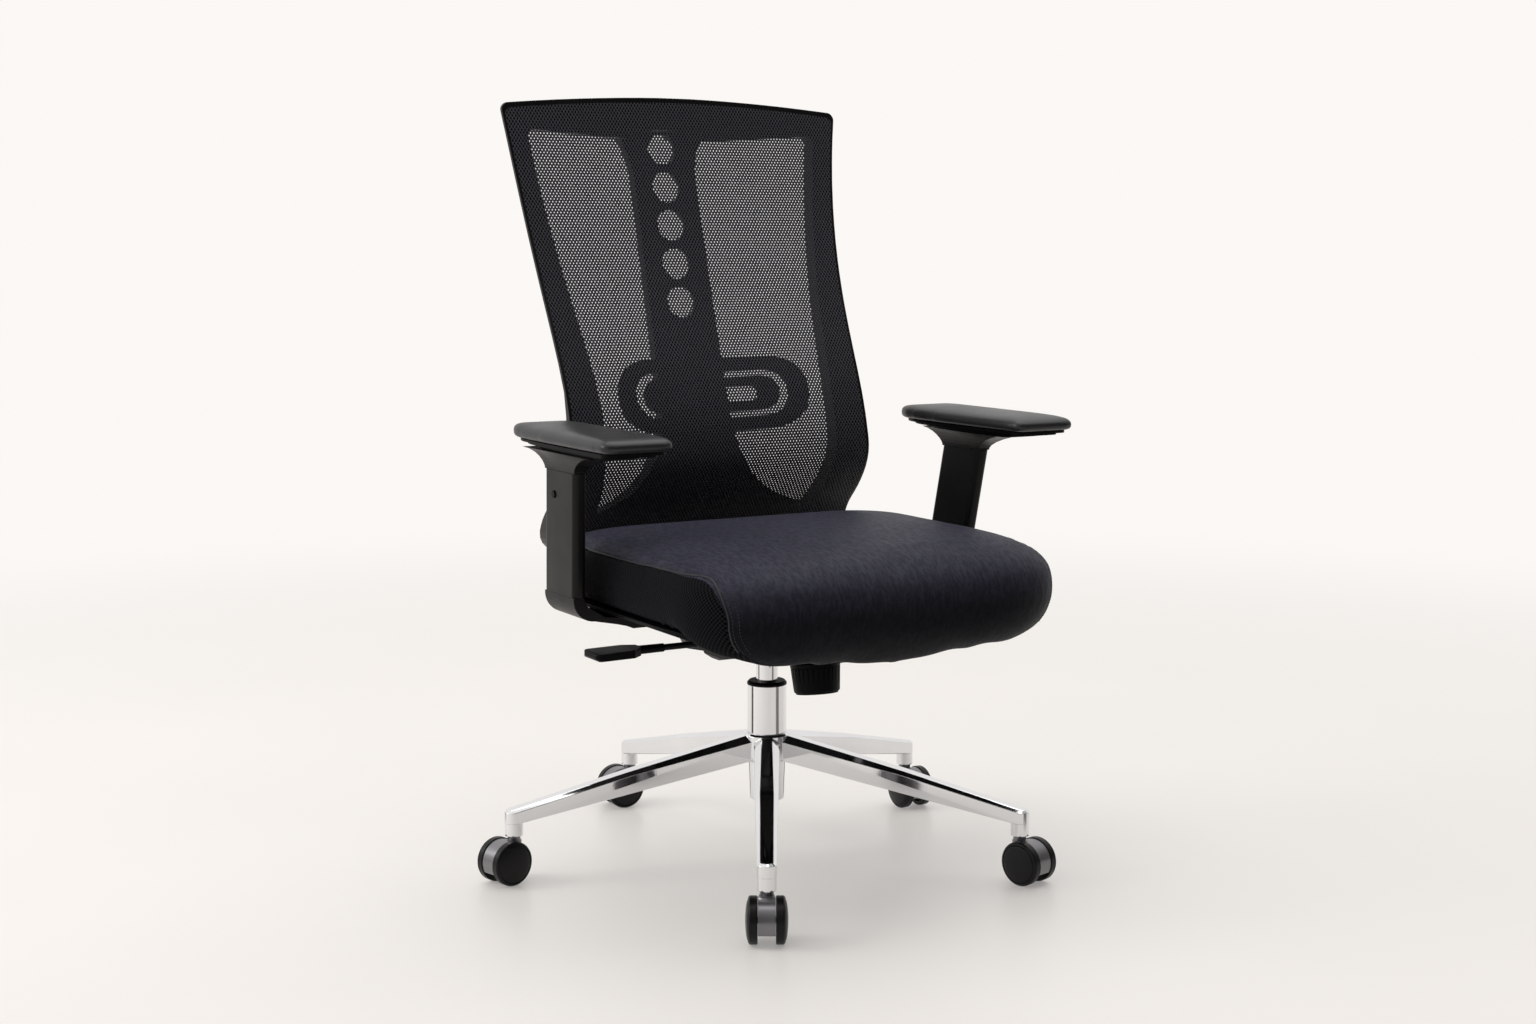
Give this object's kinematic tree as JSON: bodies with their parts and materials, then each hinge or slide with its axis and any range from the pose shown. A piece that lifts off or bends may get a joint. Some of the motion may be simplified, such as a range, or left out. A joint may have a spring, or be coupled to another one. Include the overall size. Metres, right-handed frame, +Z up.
{
  "type": "office swivel chair",
  "caption": "Swivel office chair with a woven mesh back, padded cloth seat, adjustable arms, gas lift, tilt mechanism and a polished star base on casters.",
  "frame": {"origin": "on the floor, on the axis of the lift column", "axes": "+Z up, the sitter faces -Y, +X is the sitter's left"},
  "size_m": [0.6972, 0.6992, 0.9778],
  "materials": {
    "chrome": "polished chrome plate",
    "steel": "plain bright steel",
    "black_steel": "black powder coat",
    "black_plastic": "fine-grained black plastic",
    "arm_plastic": "satin black plastic",
    "arm_pad": "soft-touch skin, satin",
    "seat_cloth": "dark blue-black cloth with stitched panels",
    "back_mesh": "open woven mesh",
    "caster_plastic": "dark grey semi-gloss",
    "wheel_plastic": "hard black tread and face"
  },
  "bodies": {
    "base": {"star_base": "chrome", "gas_cylinder": "chrome", "guide_sleeve": "black_plastic", "thrust_bearing": "steel"},
    "rod": {"piston_rod": "steel", "rod_clip": "steel"},
    "column": {"lift_cylinder": "chrome", "mechanism_housing": "black_steel", "main_axle": "steel", "front_pivot_pin": "steel", "torsion_springs": "steel"},
    "valve": {"valve_pin": "steel"},
    "knob": {"tension_knob": "black_plastic", "tension_bolt": "steel"},
    "bush": {"lever_bush": "black_plastic"},
    "lever": {"lever_rod": "black_steel", "lever_paddle": "black_plastic"},
    "seat": {"seat_plate": "black_steel", "seat_bolts": "steel", "seat_pan": "black_plastic", "seat_cushion": "seat_cloth", "arm_bracket_left": "arm_plastic", "arm_bracket_right": "arm_plastic"},
    "back": {"back_bar": "black_steel", "link_pin": "steel", "back_bolts": "steel", "back_frame": "black_plastic", "back_mesh": "back_mesh"},
    "lumbar": {"lumbar_pad": "black_plastic", "lumbar_carriage": "black_plastic"},
    "arm_slider_left": {"arm_post_left": "arm_plastic"},
    "arm_plate_left": {"arm_turntable_left": "black_plastic"},
    "arm_rest_left": {"arm_tray_left": "black_plastic", "arm_pad_left": "arm_pad"},
    "arm_button_left": {"arm_button_left": "black_plastic"},
    "arm_slider_right": {"arm_post_right": "arm_plastic"},
    "arm_plate_right": {"arm_turntable_right": "black_plastic"},
    "arm_rest_right": {"arm_tray_right": "black_plastic", "arm_pad_right": "arm_pad"},
    "arm_button_right": {"arm_button_right": "black_plastic"},
    "caster_1": {"caster_housing_1": "caster_plastic", "caster_pins_1": "steel"},
    "wheel_1_left": {"wheel_1_left": "wheel_plastic"},
    "wheel_1_right": {"wheel_1_right": "wheel_plastic"},
    "caster_2": {"caster_housing_2": "caster_plastic", "caster_pins_2": "steel"},
    "wheel_2_left": {"wheel_2_left": "wheel_plastic"},
    "wheel_2_right": {"wheel_2_right": "wheel_plastic"},
    "caster_3": {"caster_housing_3": "caster_plastic", "caster_pins_3": "steel"},
    "wheel_3_left": {"wheel_3_left": "wheel_plastic"},
    "wheel_3_right": {"wheel_3_right": "wheel_plastic"},
    "caster_4": {"caster_housing_4": "caster_plastic", "caster_pins_4": "steel"},
    "wheel_4_left": {"wheel_4_left": "wheel_plastic"},
    "wheel_4_right": {"wheel_4_right": "wheel_plastic"},
    "caster_5": {"caster_housing_5": "caster_plastic", "caster_pins_5": "steel"},
    "wheel_5_left": {"wheel_5_left": "wheel_plastic"},
    "wheel_5_right": {"wheel_5_right": "wheel_plastic"}
  },
  "joints": [
    {"name": "back_tilt", "type": "hinge", "parent": "column", "child": "back", "pos_m": [0, 0.03, 0.286], "axis": [-1, 0, 0], "range_deg": [0, 20], "stiffness_Nm_per_rad": 60, "springref_deg": -20.05},
    {"name": "seat_tilt", "type": "hinge", "parent": "column", "child": "seat", "pos_m": [0, -0.085, 0.3], "axis": [-1, 0, 0], "range_deg": [0, 8]},
    {"name": "seat_lift", "type": "slide", "parent": "rod", "child": "column", "axis": [0, 0, 1], "range_m": [0, 0.1]},
    {"name": "seat_swivel", "type": "hinge", "parent": "base", "child": "rod", "pos_m": [0, 0, 0.08], "axis": [0, 0, 1], "continuous": true},
    {"name": "arm_height_left", "type": "slide", "parent": "seat", "child": "arm_slider_left", "axis": [0.0602, -0.165, 0.9844], "range_m": [0, 0.07]},
    {"name": "arm_swivel_left", "type": "hinge", "parent": "arm_slider_left", "child": "arm_plate_left", "pos_m": [0.2815, -0.062, 0.5445], "axis": [0, 0, 1], "range_deg": [-20, 20]},
    {"name": "arm_slide_left", "type": "slide", "parent": "arm_plate_left", "child": "arm_rest_left", "axis": [0, 1, 0], "range_m": [-0.02, 0.02]},
    {"name": "arm_button_left", "type": "slide", "parent": "seat", "child": "arm_button_left", "axis": [-0.9981, 0, 0.061], "range_m": [0, 0.0012], "stiffness_N_per_m": 1500, "springref_m": -0.0005},
    {"name": "arm_height_right", "type": "slide", "parent": "seat", "child": "arm_slider_right", "axis": [-0.0602, -0.165, 0.9844], "range_m": [0, 0.07]},
    {"name": "arm_swivel_right", "type": "hinge", "parent": "arm_slider_right", "child": "arm_plate_right", "pos_m": [-0.2815, -0.062, 0.5445], "axis": [0, 0, 1], "range_deg": [-20, 20]},
    {"name": "arm_slide_right", "type": "slide", "parent": "arm_plate_right", "child": "arm_rest_right", "axis": [0, 1, 0], "range_m": [-0.02, 0.02]},
    {"name": "arm_button_right", "type": "slide", "parent": "seat", "child": "arm_button_right", "axis": [0.9981, 0, 0.061], "range_m": [0, 0.0012], "stiffness_N_per_m": 1500, "springref_m": -0.0005},
    {"name": "lumbar_height", "type": "slide", "parent": "back", "child": "lumbar", "axis": [0, 0.2687, 0.9632], "range_m": [-0.02, 0.02]},
    {"name": "lever_lift", "type": "hinge", "parent": "column", "child": "bush", "pos_m": [-0.058, -0.028, 0.295], "axis": [0, 1, 0], "range_deg": [0, 5], "stiffness_Nm_per_rad": 4, "springref_deg": -11.46},
    {"name": "lever_pull", "type": "slide", "parent": "bush", "child": "lever", "axis": [-1, 0, 0], "range_m": [0, 0.012]},
    {"name": "valve_press", "type": "slide", "parent": "column", "child": "valve", "axis": [0, 0, -1], "range_m": [0, 0.0051]},
    {"name": "tension_turn", "type": "hinge", "parent": "column", "child": "knob", "pos_m": [0, -0.118, 0.278], "axis": [0, 0.1392, 0.9903], "continuous": true},
    {"name": "caster_swivel_1", "type": "hinge", "parent": "base", "child": "caster_1", "pos_m": [-0.165, -0.28579, 0.05], "axis": [0, 0, 1], "continuous": true},
    {"name": "caster_swivel_2", "type": "hinge", "parent": "base", "child": "caster_2", "pos_m": [0.22081, -0.24524, 0.05], "axis": [0, 0, 1], "continuous": true},
    {"name": "caster_swivel_3", "type": "hinge", "parent": "base", "child": "caster_3", "pos_m": [0.30147, 0.13422, 0.05], "axis": [0, 0, 1], "continuous": true},
    {"name": "caster_swivel_4", "type": "hinge", "parent": "base", "child": "caster_4", "pos_m": [-0.03449, 0.32819, 0.05], "axis": [0, 0, 1], "continuous": true},
    {"name": "caster_swivel_5", "type": "hinge", "parent": "base", "child": "caster_5", "pos_m": [-0.32279, 0.06861, 0.05], "axis": [0, 0, 1], "continuous": true},
    {"name": "wheel_spin_1_left", "type": "hinge", "parent": "caster_1", "child": "wheel_1_left", "pos_m": [-0.1725, -0.29878, 0.0275], "axis": [0.866, -0.5, 0], "continuous": true},
    {"name": "wheel_spin_1_right", "type": "hinge", "parent": "caster_1", "child": "wheel_1_right", "pos_m": [-0.1725, -0.29878, 0.0275], "axis": [0.866, -0.5, 0], "continuous": true},
    {"name": "wheel_spin_2_left", "type": "hinge", "parent": "caster_2", "child": "wheel_2_left", "pos_m": [0.2247, -0.25973, 0.0275], "axis": [0.9659, 0.2588, 0], "continuous": true},
    {"name": "wheel_spin_2_right", "type": "hinge", "parent": "caster_2", "child": "wheel_2_right", "pos_m": [0.2247, -0.25973, 0.0275], "axis": [0.9659, 0.2588, 0], "continuous": true},
    {"name": "wheel_spin_3_left", "type": "hinge", "parent": "caster_3", "child": "wheel_3_left", "pos_m": [0.30147, 0.11922, 0.0275], "axis": [1, 0, 0], "continuous": true},
    {"name": "wheel_spin_3_right", "type": "hinge", "parent": "caster_3", "child": "wheel_3_right", "pos_m": [0.30147, 0.11922, 0.0275], "axis": [1, 0, 0], "continuous": true},
    {"name": "wheel_spin_4_left", "type": "hinge", "parent": "caster_4", "child": "wheel_4_left", "pos_m": [-0.04949, 0.32819, 0.0275], "axis": [0, -1, 0], "continuous": true},
    {"name": "wheel_spin_4_right", "type": "hinge", "parent": "caster_4", "child": "wheel_4_right", "pos_m": [-0.04949, 0.32819, 0.0275], "axis": [0, -1, 0], "continuous": true},
    {"name": "wheel_spin_5_left", "type": "hinge", "parent": "caster_5", "child": "wheel_5_left", "pos_m": [-0.33734, 0.06498, 0.0275], "axis": [0.2419, -0.9703, 0], "continuous": true},
    {"name": "wheel_spin_5_right", "type": "hinge", "parent": "caster_5", "child": "wheel_5_right", "pos_m": [-0.33734, 0.06498, 0.0275], "axis": [0.2419, -0.9703, 0], "continuous": true}
  ],
  "couplings": [
    {"joint": "seat_tilt", "follows": "back_tilt", "ratio": 0.4},
    {"joint": "valve_press", "follows": "lever_lift", "m_per_rad": 0.058}
  ]
}
